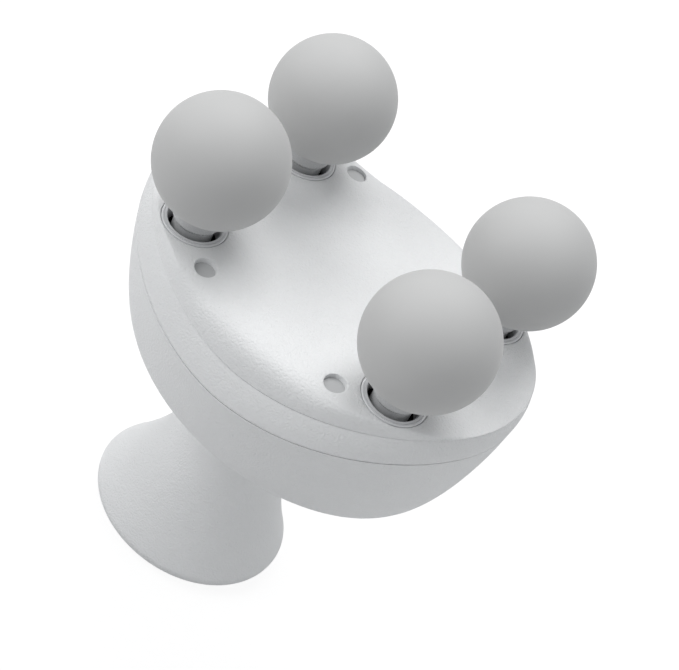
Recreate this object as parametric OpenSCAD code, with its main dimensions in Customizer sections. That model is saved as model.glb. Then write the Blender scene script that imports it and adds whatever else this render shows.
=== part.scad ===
// Handheld percussion massager: four soft balls on tapping stems, an oval two-part body and a knob handle.
// It stands on the flat end of its handle, +Z towards the balls, X along the body, sizes in millimetres.

/* [Massage balls] */
// Diameter of each massage ball
ball_d = 36; // [34:0.5:38]
// Spacing of the balls along the body
ball_pitch_x = 71.4; // [70:0.2:73]
// Spacing of the balls across the body
ball_pitch_y = 49; // [47:0.5:52]
// Height of the ball centres above the deck
ball_rise = 22.4; // [21.6:0.2:25]
// Thickness of the silicone over the hard core
ball_skin = 3; // [1.5:0.5:5]

/* [Body] */
// Length of the body
body_l = 122.4; // [120:0.4:128]
// Width of the body at its lower seam
body_w = 97.6; // [95:0.4:104]
// Width of the body at its upper seam
band_top_w = 91.5; // [88:0.5:94]
// Depth of the lower seam below the deck, at mid length
lower_seam_drop = 19.2; // [18:0.2:22]
// Depth of the upper seam below the deck, at mid length
upper_seam_drop = 10.6; // [8:0.2:12]
// Rise of both seams towards the ends of the body
seam_rise = 13; // [8:0.2:14]
// Depth of the back shell below the lower seam
bowl_depth = 41; // [40:0.5:48]
// Wall of the mouldings
wall = 2.4; // [1.8:0.2:3]
// Depth of the dish between the two pairs of balls
dish_depth = 3; // [1:0.5:6]
// Distance over which a boss blends into the dish
boss_flare = 16; // [10:0.5:18]

/* [Collars and stems] */
// Outer diameter of a collar ring
collar_d = 18.6; // [17.8:0.2:19]
// Opening in a collar ring
collar_hole_d = 14.6; // [13.6:0.2:15]
// Height of the flange of a collar ring
collar_flange = 1.5; // [1:0.1:2]
// Diameter of a stem
stem_d = 11.6; // [10:0.2:12]
// Diameter of the rim on a stem, under its ball
stem_rim_d = 13.8; // [13:0.2:14]
// Diameter of the stud that holds a ball
stud_d = 8; // [6:0.5:9]
// Length of a guide bush below its flange
bush_l = 12; // [9:0.5:13]
// Radial running clearance of a stem in its bush
running_gap = 0.05; // [0.03:0.01:0.1]

/* [Rocker drive] */
// Depth of the rocker pivot below the deck
rocker_drop = 27.5; // [27:0.5:30]
// Thickness of the rocker arms
arm_t = 5; // [4:0.5:6]
// Diameter of the rocker pivot pin
pivot_d = 5; // [4:0.5:6]
// Diameter of the small pins of the linkage
pin_d = 3; // [2.5:0.1:3.4]
// Distance of the connecting rod from the rocker pivot
rod_arm = 14; // [13:0.5:16]
// Throw of the crank pin
crank_throw = 0.95; // [0.5:0.05:1]
// Depth of the motor shaft below the deck
motor_drop = 43; // [42.5:0.5:44]
// Diameter of the motor
motor_d = 24; // [20:0.5:25]
// Length of the motor can
motor_l = 26; // [20:0.5:28]

/* [Handle] */
// Length of the handle rim
handle_l = 65.4; // [60:0.2:72]
// Width of the handle rim
handle_w = 57.8; // [54:0.2:64]
// Height of the handle from its resting face to the back shell
handle_h = 64.7; // [62:0.1:72]
// Diameter of the neck of the handle
neck_d = 32.5; // [30:0.5:38]
// Offset of the handle rim from the middle of the body, towards -X
handle_shift = 8.6; // [0:0.2:10]
// Diameter of the power button
button_d = 17; // [12:0.5:20]
// Travel of the power button
button_travel = 1; // [0.6:0.1:1.4]

/* [Fasteners and power] */
// Spacing of the cover screws along the body
screw_pitch_x = 45.8; // [44:0.2:47]
// Spacing of the cover screws across the body
screw_pitch_y = 68.6; // [66:0.2:69]
// Diameter of the screw recesses in the front cover
recess_d = 6.1; // [5.9:0.1:6.6]
// Depth of a screw recess down to its plug
recess_depth = 1.5; // [1:0.1:3]
// Diameter of the battery cell
cell_d = 18.4; // [14:0.2:20]
// Length of the battery cell
cell_l = 50; // [40:1:51]
// Diameter of the bore in the charging socket
socket_d = 5.5; // [3.5:0.5:6]

/* [Hidden] */

$fn = 64;
// Points round each oval ring of a moulded shell
ring_points = 60;
// Exponent of the rise of the seams from the sides to the ends of the body
seam_power = 1.68;
// Share of the rise that is eased off at the tips of the body
end_ease = 0.17;
// Slope of the seam faces: how far their inner edge lies below the outer one
seam_slope = 2.4;
// Gap between pieces that slip into each other
fit_gap = 0.1;
// Overlap of a cut past the face that it leaves
cut = 1;

base_lift = 0.5;
bowl_z = handle_h;
deck_z = bowl_z + bowl_depth + lower_seam_drop;
ball_z = deck_z + ball_rise;
ball_r = ball_d / 2;

// Places of the four balls: 1 and 2 at -X, 3 and 4 at +X, odd ones at -Y
ball_places = [
    [-ball_pitch_x / 2, -ball_pitch_y / 2], [-ball_pitch_x / 2, ball_pitch_y / 2],
    [ball_pitch_x / 2, -ball_pitch_y / 2], [ball_pitch_x / 2, ball_pitch_y / 2]
];
screw_places = [for (sx = [-1, 1], sy = [-1, 1]) [sx * screw_pitch_x / 2, sy * screw_pitch_y / 2]];

// Outline of the body: half lengths at the two seams
low_a = body_l / 2;
low_b = body_w / 2;
top_a = body_l / 2 - 0.6;
top_b = band_top_w / 2;
band_bulge = 0.5;

// Steps of the surface of the front cover from its middle to its rim
cover_steps = [0.14, 0.28, 0.4, 0.5, 0.59, 0.67, 0.74, 0.8, 0.86, 0.91, 0.95, 0.98, 0.994, 1];
cover_inner_steps = [0.93, 0.8, 0.62, 0.4];
// Power of the shoulder: how flat the cover stays towards its rim
shoulder_power = 14;
// Power of the last turn down to the rim, beside the bosses
rim_power = 140;
boss_r = collar_d / 2 + 0.5;
dish_half = 25;

// Chassis
plate_t = 3;
plate_top = deck_z - 13;
plate_bottom = plate_top - plate_t;
guide_wall = 1.4;
bush_r = stem_d / 2 + 1.2;
bush_flange_r = bush_r + 1;
bush_flange_t = 1.5;
guide_r = bush_r + guide_wall;
guide_top = deck_z - 8.5;
pivot_z = deck_z - rocker_drop;
bracket_y = ball_pitch_y / 2 + 9;
bracket_t = 4;
bracket_w = pivot_d + 8;

// Stems and their links to the rocker
seat_z = deck_z + 5.4;
stem_rim_t = 1.4;
stem_foot = 5.5;
foot_taper = 3;
tongue_t = 4;
tongue_gap = 0.4;
stud_l = ball_rise + 2;
arm_w = 7;
// Distance from a stem to the middle of the rounded end of a rocker arm
arm_end_gap = 3.4;
hub_r = pivot_d / 2 + 2.5;
hub_l = ball_pitch_y + arm_w;

// Crank drive, in the plane of the connecting rod
rod_y = -15;
rod_t = 3;
rod_eye_r = pin_d / 2 + 2;
lug_gap = 0.3;
lug_t = 2;
motor_z = deck_z - motor_drop;
motor_x = rod_arm;
big_end_r = pin_d / 2 + crank_throw + 1.4;
crank_r = 5.5;
crank_t = 2.5;
shaft_r = 1.6;
motor_front = rod_y + rod_t / 2 + lug_gap + crank_t + 1.2;
clamp_w = 7;
clamp_wall = 2;
clamp_y = motor_front + motor_l / 2;
clamp_leg_x = motor_x + motor_d / 2 + 1;

// Screws
screw_d = 3;
screw_head_d = 5.6;
screw_head_h = 1.8;
screw_l = 20;
plug_t = 1.6;
post_d = 8.4;
small_screw_d = 2;
small_head_d = 3.8;

// Handle
rim_z = 5.4;
neck_x = -handle_shift * 0.45;
rim_x = -handle_shift;
rim_edge = 5;
cap_t = 3.2;
cap_share = 0.8;
cap_gap = 0.15;
ledge_share = 0.72;
button_recess = 0.8;
button_t = 3.4;
button_rim = 1.6;
button_rim_t = 1;
button_gap = 0.2;
board_t = 1.6;
board_post_d = 6;
cap_post_x = 15;
holder_wall = 1.4;

// Switch board over the button, on the posts of the end cap, under the battery holder
board_z = cap_t + button_rim_t + button_travel + 2.8;
holder_floor = 2;
holder_tube_l = 30;
cell_x = rim_x + 1;

// The posts for the cover screws start in the side wall of the bowl
post_foot_z = bowl_z + bowl_depth * 0.6;

// Charging socket, on the +Y side of the back shell
socket_r = socket_d / 2 + 1.4;
socket_flange_r = socket_r + 1.6;
socket_z = deck_z - 42;
socket_y = low_b * 0.6;
// Depth of the inner wall behind the outer face, at the lower edge of the flange
socket_seat = 5;

// Height of a seam at angle t round the body
function seam_z(drop, t) =
    deck_z - drop + seam_rise * pow(abs(cos(t)), seam_power) * (1 - end_ease * pow(cos(t), 6));
// Ring of points on an oval whose height follows a list
function oval(a, b, zs, cx = 0) =
    [for (i = [0:ring_points - 1]) let (t = 360 * i / ring_points) [cx + a * cos(t), b * sin(t), zs[i]]];
function level(z) = [for (i = [0:ring_points - 1]) z];
function seam_ring(drop, down = 0) = [for (i = [0:ring_points - 1]) seam_z(drop, 360 * i / ring_points) - down];
function mix(a, b, s) = [for (i = [0:len(a) - 1]) a[i] + (b[i] - a[i]) * s];

// Height of the front cover at share s of the way to its rim
function boss_share(r) = r < boss_r ? 1 : r > boss_r + boss_flare ? 0 : 0.5 + 0.5 * cos(180 * (r - boss_r) / boss_flare);
function nearest_boss(x, y) = norm([abs(x) - ball_pitch_x / 2, abs(y) - ball_pitch_y / 2]);
function cover_z(s, t) =
    let (x = top_a * s * cos(t), y = top_b * s * sin(t), rim = seam_z(upper_seam_drop, t))
    let (dish = deck_z - dish_depth * exp(-pow(x / dish_half, 2)) * (1 - pow(s * sin(t), 2)))
    let (base = rim + (dish - rim) * sqrt(1 - pow(s, shoulder_power)))
    base + (deck_z - base) * boss_share(nearest_boss(x, y)) * (1 - pow(s, rim_power));
function cover_ring(s, inset = 0, down = 0) =
    oval((top_a - inset) * s, (top_b - inset) * s, [for (i = [0:ring_points - 1]) cover_z(s, 360 * i / ring_points) - down]);

// Outline of the back shell at share w of its depth
function bowl_a(w) = pow(1 - pow(w, 1.36), 1 / 8);
function bowl_b(w) = pow(1 - pow(w, 0.85), 1 / 5.8);
function bowl_zs(w) = mix(seam_ring(lower_seam_drop), level(bowl_z), w);
bowl_steps = [for (i = [0:8]) sin(90 * i / 9)];
bowl_inner_steps = [for (i = [8:-2:0]) sin(90 * i / 9)];
seat_a = neck_d / 2 + 5;
wire_hole_r = 8;

// Outline of the handle at share h of the way from the back shell to its rim
function handle_grow(h) = pow(h, 2.1);
function neck_fillet(h) = h < 0.16 ? 3 * pow(1 - h / 0.16, 2) : 0;
function handle_a(h) = neck_d / 2 + neck_fillet(h) + (handle_l / 2 - neck_d / 2) * handle_grow(h);
function handle_b(h) = neck_d / 2 - 1 + neck_fillet(h) + (handle_w / 2 - neck_d / 2 + 1) * handle_grow(h);
function handle_x(h) = neck_x + (rim_x - neck_x) * h;
function handle_z(h) = bowl_z - (bowl_z - rim_z) * h;
handle_steps = [0, 0.05, 0.1, 0.16, 0.3, 0.45, 0.58, 0.7, 0.8, 0.88, 0.95, 1];
handle_inner_steps = [0.9, 0.75, 0.5, 0.2, 0];

// Front of the charging socket, at the outer face of the back shell a little below its axis
socket_front = low_b * bowl_b((deck_z - lower_seam_drop - socket_z + socket_r / 2) / bowl_depth) - 0.4;

// Height of the cover over a screw, and of the screw's recess, plug and head below it
screw_t = atan2(screw_pitch_y / 2 / top_b, screw_pitch_x / 2 / top_a);
screw_s = norm([screw_pitch_x / 2 / top_a, screw_pitch_y / 2 / top_b]);
recess_z = cover_z(screw_s, screw_t) - recess_depth;
head_z = recess_z - plug_t;
head_seat_z = head_z - screw_head_h;

// Solid skin over rings that follow each other round a wall and meet again
module wall_loft(rings) {
    n = len(rings[0]);
    m = len(rings);
    polyhedron(
        points = [for (r = rings, p = r) p],
        faces = [for (i = [0:m - 1], j = [0:n - 1], half = [0, 1])
            let (a = i * n + j, b = i * n + (j + 1) % n, c = ((i + 1) % m) * n + (j + 1) % n, d = ((i + 1) % m) * n + j)
            half == 0 ? [a, b, c] : [a, c, d]]
    );
}

// Solid skin over rings, closed by a fan at its first and last ring
module capped_loft(rings, first, last) {
    n = len(rings[0]);
    m = len(rings);
    polyhedron(
        points = concat([for (r = rings, p = r) p], [first, last]),
        faces = concat(
            [for (i = [0:m - 2], j = [0:n - 1], half = [0, 1])
                let (a = i * n + j, b = i * n + (j + 1) % n, c = (i + 1) * n + (j + 1) % n, d = (i + 1) * n + j)
                half == 0 ? [a, b, c] : [a, c, d]],
            [for (j = [0:n - 1]) [m * n, (j + 1) % n, j]],
            [for (j = [0:n - 1]) [m * n + 1, (m - 1) * n + j, (m - 1) * n + (j + 1) % n]]
        )
    );
}

// Flat plate with an oval outline
module oval_plate(a, b, t) {
    linear_extrude(t) polygon([for (i = [0:ring_points - 1]) [a * cos(360 * i / ring_points), b * sin(360 * i / ring_points)]]);
}

module at_balls() {
    for (p = ball_places) translate([p[0], p[1], 0]) children();
}

module at_screws() {
    for (p = screw_places) translate([p[0], p[1], 0]) children();
}

// Cylinder along Y, from its low end
module y_rod(r, l) {
    rotate([-90, 0, 0]) cylinder(r = r, h = l);
}

module front_cover() {
    color([0.93, 0.93, 0.93]) difference() {
        union() {
            capped_loft(
                concat(
                    [for (s = cover_steps) cover_ring(s)],
                    [oval(top_a - wall, top_b - wall, seam_ring(upper_seam_drop, seam_slope))],
                    [for (s = cover_inner_steps) cover_ring(s, wall, wall)]
                ),
                [0, 0, deck_z - dish_depth],
                [0, 0, deck_z - dish_depth - wall]
            );
            intersection() {
                at_balls() translate([0, 0, deck_z - 5]) cylinder(r = boss_r, h = 5);
                translate([0, 0, deck_z - 6]) oval_plate(top_a - wall - fit_gap, top_b - wall - fit_gap, 6);
            }
            at_screws() translate([0, 0, plate_top]) cylinder(d = post_d, h = recess_z + 0.6 - plate_top);
        }
        at_balls() {
            translate([0, 0, deck_z - collar_flange + 0.3]) cylinder(r = collar_d / 2 + 0.15, h = 10);
            translate([0, 0, deck_z - 12]) cylinder(r = collar_hole_d / 2 + 1.2, h = 20);
        }
        at_screws() {
            translate([0, 0, head_seat_z]) cylinder(d = recess_d, h = 12);
            translate([0, 0, plate_top - cut]) cylinder(d = screw_d + 0.4, h = 20);
        }
    }
}

module middle_band() {
    mid = mix(seam_ring(lower_seam_drop), seam_ring(upper_seam_drop), 0.5);
    color([0.9, 0.9, 0.9]) wall_loft([
        oval(low_a - wall, low_b - wall, seam_ring(lower_seam_drop, seam_slope)),
        oval(top_a - wall, top_b - wall, seam_ring(upper_seam_drop, seam_slope)),
        oval(top_a, top_b, seam_ring(upper_seam_drop)),
        oval((low_a + top_a) / 2 + band_bulge, (low_b + top_b) / 2 + band_bulge, mid),
        oval(low_a, low_b, seam_ring(lower_seam_drop))
    ]);
}

module back_shell() {
    color([0.88, 0.88, 0.88]) difference() {
        union() {
            wall_loft(concat(
                [for (w = bowl_steps) oval(low_a * bowl_a(w), low_b * bowl_b(w), bowl_zs(w))],
                [oval(seat_a, seat_a - 1, level(bowl_z), neck_x)],
                [oval(wire_hole_r, wire_hole_r, level(bowl_z), neck_x)],
                [oval(wire_hole_r, wire_hole_r, level(bowl_z + wall), neck_x)],
                [for (w = bowl_inner_steps)
                    oval((low_a - wall) * bowl_a(w), (low_b - wall) * bowl_b(w),
                        mix(seam_ring(lower_seam_drop, seam_slope), level(bowl_z + wall), w))]
            ));
            at_screws() translate([0, 0, post_foot_z]) cylinder(d = post_d, h = plate_bottom - post_foot_z);
        }
        at_screws() translate([0, 0, plate_bottom - screw_l + 6]) cylinder(d = screw_d - 0.4, h = screw_l);
        at_handle_screws() {
            translate([0, 0, bowl_z - cut]) cylinder(d = small_screw_d + 0.4, h = 10);
            translate([0, 0, bowl_z + wall]) cylinder(d = small_head_d + 0.4, h = 10);
        }
        translate([0, socket_y, socket_z]) y_rod(socket_r + fit_gap, 30);
    }
}

module at_handle_screws() {
    for (a = [45:90:315]) translate([neck_x + 12 * cos(a), 12 * sin(a), 0]) children();
}

module screw_plugs() {
    color([0.62, 0.62, 0.62]) at_screws() translate([0, 0, head_z]) cylinder(d = recess_d - 0.1, h = plug_t);
}

module cover_screws() {
    color([0.7, 0.7, 0.72]) at_screws() {
        difference() {
            translate([0, 0, head_seat_z]) cylinder(d = screw_head_d, h = screw_head_h);
            translate([0, 0, head_seat_z + 0.8]) cylinder(d = 2.4, h = 5, $fn = 6);
        }
        translate([0, 0, head_seat_z - screw_l]) cylinder(d = screw_d - 0.5, h = screw_l + 0.5);
    }
}

module collar_ring(p) {
    low = deck_z - collar_flange + 0.3;
    hole = collar_hole_d / 2;
    rim = collar_d / 2;
    color([0.86, 0.87, 0.88]) translate([p[0], p[1], 0]) rotate_extrude() polygon([
        [hole, low - 4], [hole + 1.1, low - 4], [hole + 1.1, low], [rim, low],
        [rim, low + 1], [rim - 0.5, low + 1.5], [hole + 0.9, low + 1.5], [hole, low + 0.4]
    ]);
}

module guide_bush(p) {
    color([0.3, 0.3, 0.32]) translate([p[0], p[1], 0]) difference() {
        union() {
            translate([0, 0, guide_top - bush_l]) cylinder(r = bush_r, h = bush_l);
            translate([0, 0, guide_top]) cylinder(r = bush_flange_r, h = bush_flange_t);
        }
        translate([0, 0, guide_top - bush_l - cut]) cylinder(r = stem_d / 2 + running_gap, h = bush_l + 10);
    }
}

module stem(p) {
    foot_z = pivot_z - stem_foot;
    slot_top = pivot_z + 5.5;
    color([0.72, 0.73, 0.75]) translate([p[0], p[1], 0]) difference() {
        union() {
            translate([0, 0, foot_z]) cylinder(d1 = stem_d - 4, d2 = stem_d, h = foot_taper);
            translate([0, 0, foot_z + foot_taper]) cylinder(d = stem_d, h = seat_z - foot_z - foot_taper);
            translate([0, 0, seat_z - stem_rim_t]) cylinder(d = stem_rim_d, h = stem_rim_t);
            translate([0, 0, seat_z]) cylinder(d = stud_d, h = stud_l - (seat_z - deck_z));
        }
        translate([-10, -tongue_t / 2 - tongue_gap, foot_z - cut]) cube([20, tongue_t + 2 * tongue_gap, slot_top - foot_z + cut]);
        translate([0, -10, pivot_z]) y_rod(pin_d / 2 + 0.02, 20);
    }
}

module link_pin(p) {
    color([0.6, 0.6, 0.62]) translate([p[0], p[1] - stem_d / 2 + 1, pivot_z]) y_rod(pin_d / 2, stem_d - 2);
}

module ball_core(p) {
    color([0.35, 0.35, 0.36]) translate([p[0], p[1], ball_z]) difference() {
        sphere(r = ball_r - ball_skin);
        translate([0, 0, -ball_r]) cylinder(d = stud_d + 2 * fit_gap, h = ball_r + 2 + fit_gap);
    }
}

module massage_ball(p) {
    color([0.8, 0.8, 0.8]) translate([p[0], p[1], ball_z]) difference() {
        sphere(r = ball_r);
        sphere(r = ball_r - ball_skin + 0.05);
        translate([0, 0, seat_z - ball_z - 10]) cylinder(r = 12, h = 10);
        translate([0, 0, -ball_r]) cylinder(d = stud_d + 2 * fit_gap, h = ball_r);
    }
}

module chassis_plate() {
    color([0.25, 0.27, 0.3]) difference() {
        union() {
            translate([0, 0, plate_bottom]) oval_plate(low_a - 9, low_b - 6.5, plate_t);
            intersection() {
                at_balls() translate([0, 0, guide_top - bush_l + 1]) cylinder(r = guide_r, h = bush_l - 1);
                translate([0, 0, guide_top - bush_l]) oval_plate(top_a - wall - fit_gap, top_b - wall - fit_gap, bush_l);
            }
            for (sy = [-1, 1]) {
                translate([-bracket_w / 2, sy * bracket_y - bracket_t / 2, pivot_z])
                    cube([bracket_w, bracket_t, plate_bottom - pivot_z]);
                translate([0, sy * bracket_y - bracket_t / 2, pivot_z]) y_rod(bracket_w / 2, bracket_t);
            }
        }
        at_balls() translate([0, 0, guide_top - 20]) cylinder(r = bush_r + 0.02, h = 30);
        at_screws() translate([0, 0, plate_bottom - cut]) cylinder(d = screw_d + 0.4, h = 10);
        for (sx = [-1, 1]) translate([clamp_leg_x, clamp_y + sx * 7, plate_bottom - cut])
            cylinder(d = small_screw_d - 0.3, h = 10);
        translate([0, -60, pivot_z]) y_rod(pivot_d / 2 + 0.01, 120);
    }
}

module pivot_pin() {
    l = 2 * bracket_y + bracket_t;
    color([0.65, 0.66, 0.68]) translate([0, -l / 2, pivot_z]) y_rod(pivot_d / 2, l);
}

module rocker_beam() {
    reach = ball_pitch_x / 2 + 4;
    slot_l = 7;
    color([0.78, 0.78, 0.8]) difference() {
        union() {
            translate([0, -hub_l / 2, pivot_z]) y_rod(hub_r, hub_l);
            for (sy = [-1, 1]) translate([0, sy * ball_pitch_y / 2, pivot_z]) {
                for (sx = [-1, 1]) hull() {
                    translate([sx * 4, -arm_w / 2, 0]) y_rod(arm_t / 2, arm_w, $fn = 24);
                    translate([sx * (ball_pitch_x / 2 - stem_d / 2 - arm_end_gap), -arm_w / 2, 0]) y_rod(arm_t / 2, arm_w, $fn = 24);
                }
                translate([-reach, -tongue_t / 2, -arm_t / 2 - 0.4]) cube([2 * reach, tongue_t, arm_t + 0.8]);
            }
            for (side = [-1, 1])
                translate([0, rod_y + side * (rod_t / 2 + lug_gap + lug_t / 2) - lug_t / 2, pivot_z]) rod_lug();
        }
        translate([0, -60, pivot_z]) y_rod(pivot_d / 2 + running_gap, 120);
        translate([rod_arm, rod_y - 10, pivot_z]) y_rod(pin_d / 2 + 0.02, 20);
        for (sx = [-1, 1]) translate([sx * ball_pitch_x / 2, -60, pivot_z]) {
            y_rod(pin_d / 2 + 0.1, 120);
            translate([-sx * 0.5 - slot_l / 2 + sx * slot_l / 2, 0, -pin_d / 2 - 0.1]) cube([slot_l, 120, pin_d + 0.2]);
        }
    }
}

// Ear of the rocker that holds one end of the rod pin
module rod_lug() {
    translate([0, 0, -rod_eye_r]) cube([rod_arm, lug_t, 2 * rod_eye_r]);
    translate([rod_arm, 0, 0]) y_rod(rod_eye_r, lug_t);
}

module rod_pin() {
    l = rod_t + 2 * lug_gap + 2 * lug_t;
    color([0.6, 0.6, 0.62]) translate([rod_arm, rod_y - l / 2, pivot_z]) y_rod(pin_d / 2, l);
}

module connecting_rod() {
    color([0.9, 0.88, 0.8]) translate([0, rod_y - rod_t / 2, 0]) difference() {
        union() {
            translate([rod_arm, 0, pivot_z]) y_rod(rod_eye_r, rod_t);
            translate([motor_x, 0, motor_z]) y_rod(big_end_r + 2, rod_t);
            translate([motor_x - 2, 0, motor_z]) cube([4, rod_t, pivot_z - motor_z]);
        }
        translate([rod_arm, -cut, pivot_z]) y_rod(pin_d / 2 + running_gap, rod_t + 2 * cut);
        translate([motor_x, -cut, motor_z]) y_rod(big_end_r, rod_t + 2 * cut);
    }
}

module crank_disc() {
    disc_y = rod_y + rod_t / 2 + lug_gap;
    color([0.7, 0.6, 0.35]) difference() {
        union() {
            translate([motor_x, disc_y, motor_z]) y_rod(crank_r, crank_t);
            translate([motor_x + crank_throw, rod_y - rod_t / 2 - 0.6, motor_z]) y_rod(pin_d / 2, rod_t + 2);
        }
        translate([motor_x, disc_y + 0.8, motor_z]) y_rod(shaft_r + 0.01, crank_t);
    }
}

module motor_shaft() {
    from = rod_y + rod_t / 2 + lug_gap + 0.8;
    color([0.6, 0.6, 0.62]) translate([motor_x, from, motor_z]) y_rod(shaft_r, motor_front + motor_l - 4 - from);
}

module drive_motor() {
    color([0.68, 0.69, 0.7]) translate([motor_x, 0, motor_z]) difference() {
        union() {
            translate([0, motor_front, 0]) y_rod(motor_d / 2, motor_l);
            translate([0, motor_front - 0.8, 0]) y_rod(4, 2);
            translate([0, motor_front + motor_l - 1, 0]) y_rod(4, 2.5);
        }
        translate([0, motor_front - 5, 0]) y_rod(shaft_r + 0.05, motor_l + 1.2);
    }
}

module motor_clamp() {
    clamp_r = motor_d / 2 + clamp_wall;
    color([0.25, 0.27, 0.3]) difference() {
        union() {
            translate([motor_x, clamp_y - clamp_w / 2, motor_z]) y_rod(clamp_r, clamp_w);
            translate([clamp_leg_x - 2, clamp_y - clamp_w / 2, motor_z]) cube([4, clamp_w, plate_bottom - motor_z]);
            translate([clamp_leg_x - 3.5, clamp_y - 10, plate_bottom - 2.4]) cube([7, 20, 2.4]);
        }
        translate([motor_x, clamp_y - 10, motor_z]) y_rod(motor_d / 2 + 0.05, 20);
        for (side = [-1, 1]) translate([clamp_leg_x, clamp_y + side * 7, plate_bottom - 5])
            cylinder(d = small_screw_d + 0.4, h = 10);
    }
}

module clamp_screws() {
    color([0.7, 0.7, 0.72]) for (side = [-1, 1]) translate([clamp_leg_x, clamp_y + side * 7, 0]) {
        translate([0, 0, plate_bottom - 2.4 - 1.4]) cylinder(d = small_head_d, h = 1.4);
        translate([0, 0, plate_bottom - 2.4]) cylinder(d = small_screw_d - 0.35, h = 4.6);
    }
}

module control_board() {
    color([0.1, 0.35, 0.2]) translate([-34, -15, plate_bottom]) difference() {
        union() {
            translate([0, 0, -2 - board_t]) cube([26, 30, board_t]);
            for (x = [3, 23], y = [4, 26]) translate([x, y, -2.5]) cylinder(d = 4, h = 2.5);
            translate([6, 10, -2 - board_t - 1.6]) cube([9, 9, 1.7]);
            translate([18, 6, -2 - board_t - 2.2]) cube([5, 6, 2.3]);
        }
        for (x = [3, 23], y = [4, 26]) translate([x, y, -10]) cylinder(d = 1.6, h = 20);
    }
}

module charging_socket() {
    color([0.15, 0.15, 0.16]) translate([0, 0, socket_z]) difference() {
        union() {
            translate([0, socket_y, 0]) y_rod(socket_r, socket_front - socket_y);
            translate([0, socket_y - 3, 0]) y_rod(socket_flange_r, socket_front - socket_seat - socket_y + 3);
        }
        translate([0, socket_y + 1, 0]) y_rod(socket_d / 2, 30);
    }
}

module handle_shell() {
    color([0.9, 0.9, 0.9]) difference() {
        wall_loft(concat(
            [for (h = handle_steps) oval(handle_a(h), handle_b(h), level(handle_z(h)), handle_x(h))],
            [for (a = [25:25:75]) oval(handle_l / 2 - rim_edge * (1 - cos(a)), handle_w / 2 - rim_edge * (1 - cos(a)),
                level(base_lift + (rim_z - base_lift) * (1 - sin(a))), rim_x)],
            [
                oval(handle_l / 2 * cap_share + cap_gap, handle_w / 2 * cap_share + cap_gap, level(base_lift), rim_x),
                oval(handle_l / 2 * cap_share + cap_gap, handle_w / 2 * cap_share + cap_gap, level(cap_t), rim_x),
                oval(handle_l / 2 * ledge_share, handle_w / 2 * ledge_share, level(cap_t), rim_x)
            ],
            [for (h = handle_inner_steps) oval(handle_a(h) - wall, handle_b(h) - wall,
                level(min(handle_z(h) + 1.5, bowl_z - wall)), handle_x(h))],
            [
                oval(wire_hole_r, wire_hole_r, level(bowl_z - wall), neck_x),
                oval(wire_hole_r, wire_hole_r, level(bowl_z), neck_x)
            ]
        ));
        at_handle_screws() translate([0, 0, bowl_z - 12]) cylinder(d = small_screw_d - 0.3, h = 20);
    }
}

module handle_screws() {
    color([0.7, 0.7, 0.72]) at_handle_screws() {
        translate([0, 0, bowl_z + wall]) cylinder(d = small_head_d, h = 1.4);
        translate([0, 0, bowl_z - 2]) cylinder(d = small_screw_d - 0.35, h = wall + 2.2);
    }
}

module end_cap() {
    color([0.86, 0.86, 0.86]) translate([rim_x, 0, 0]) difference() {
        union() {
            oval_plate(handle_l / 2 * cap_share, handle_w / 2 * cap_share, cap_t);
            for (sx = [-1, 1]) translate([sx * cap_post_x, 0, cap_t - 0.5]) cylinder(d = board_post_d, h = board_z - cap_t + 0.5);
        }
        translate([0, 0, -cut]) cylinder(d = button_d + 2 * button_gap, h = 10);
        for (sx = [-1, 1]) translate([sx * cap_post_x, 0, 1]) cylinder(d = small_screw_d - 0.3, h = 20);
    }
}

module cap_screws() {
    color([0.7, 0.7, 0.72]) for (sx = [-1, 1]) translate([rim_x + sx * cap_post_x, 0, 0]) {
        translate([0, 0, board_z + board_t + holder_floor]) cylinder(d = small_head_d, h = 1.4);
        translate([0, 0, board_z - 4]) cylinder(d = small_screw_d - 0.35, h = 4.2 + board_t + holder_floor);
    }
}

module power_button() {
    color([0.75, 0.76, 0.78]) translate([rim_x, 0, 0]) difference() {
        union() {
            translate([0, 0, button_recess]) cylinder(d = button_d, h = cap_t + button_rim_t - button_recess);
            translate([0, 0, cap_t + 0.05]) cylinder(d = button_d + 2 * button_rim, h = button_rim_t - 0.05);
        }
        translate([0, 0, button_recess - 27.4]) sphere(r = 28);
    }
}

module switch_board() {
    color([0.1, 0.35, 0.2]) translate([rim_x, 0, 0]) difference() {
        union() {
            translate([-cap_post_x - 3, -9, board_z]) cube([2 * cap_post_x + 6, 18, board_t]);
            translate([-3, -3, board_z - 1.6]) cube([6, 6, 1.7]);
            translate([0, 0, cap_t + button_rim_t + button_travel + 0.15]) cylinder(d = 3.4, h = 2);
        }
        for (sx = [-1, 1]) translate([sx * cap_post_x, 0, board_z - 5]) cylinder(d = small_screw_d + 0.4, h = 10);
    }
}

module battery_holder() {
    tube_r = cell_d / 2 + 0.1 + holder_wall;
    z0 = board_z + board_t;
    color([0.25, 0.27, 0.3]) difference() {
        union() {
            translate([rim_x - cap_post_x - 3.5, -9, z0]) cube([2 * cap_post_x + 7, 18, holder_floor]);
            translate([cell_x, 0, z0]) cylinder(r = tube_r, h = holder_tube_l);
        }
        translate([cell_x, 0, z0 + holder_floor]) cylinder(r = cell_d / 2 + 0.1, h = 40);
        for (sx = [-1, 1]) translate([rim_x + sx * cap_post_x, 0, z0 - cut]) cylinder(d = small_screw_d + 0.4, h = 10);
        for (sx = [-1, 1]) translate([rim_x + sx * cap_post_x, 0, z0 + holder_floor]) cylinder(d = small_head_d + 0.4, h = 40);
    }
}

module battery_cell() {
    z0 = board_z + board_t + holder_floor;
    color([0.2, 0.4, 0.65]) translate([cell_x, 0, z0]) {
        cylinder(d = cell_d, h = cell_l - 1.5);
        cylinder(d = 6, h = cell_l);
    }
}

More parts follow.
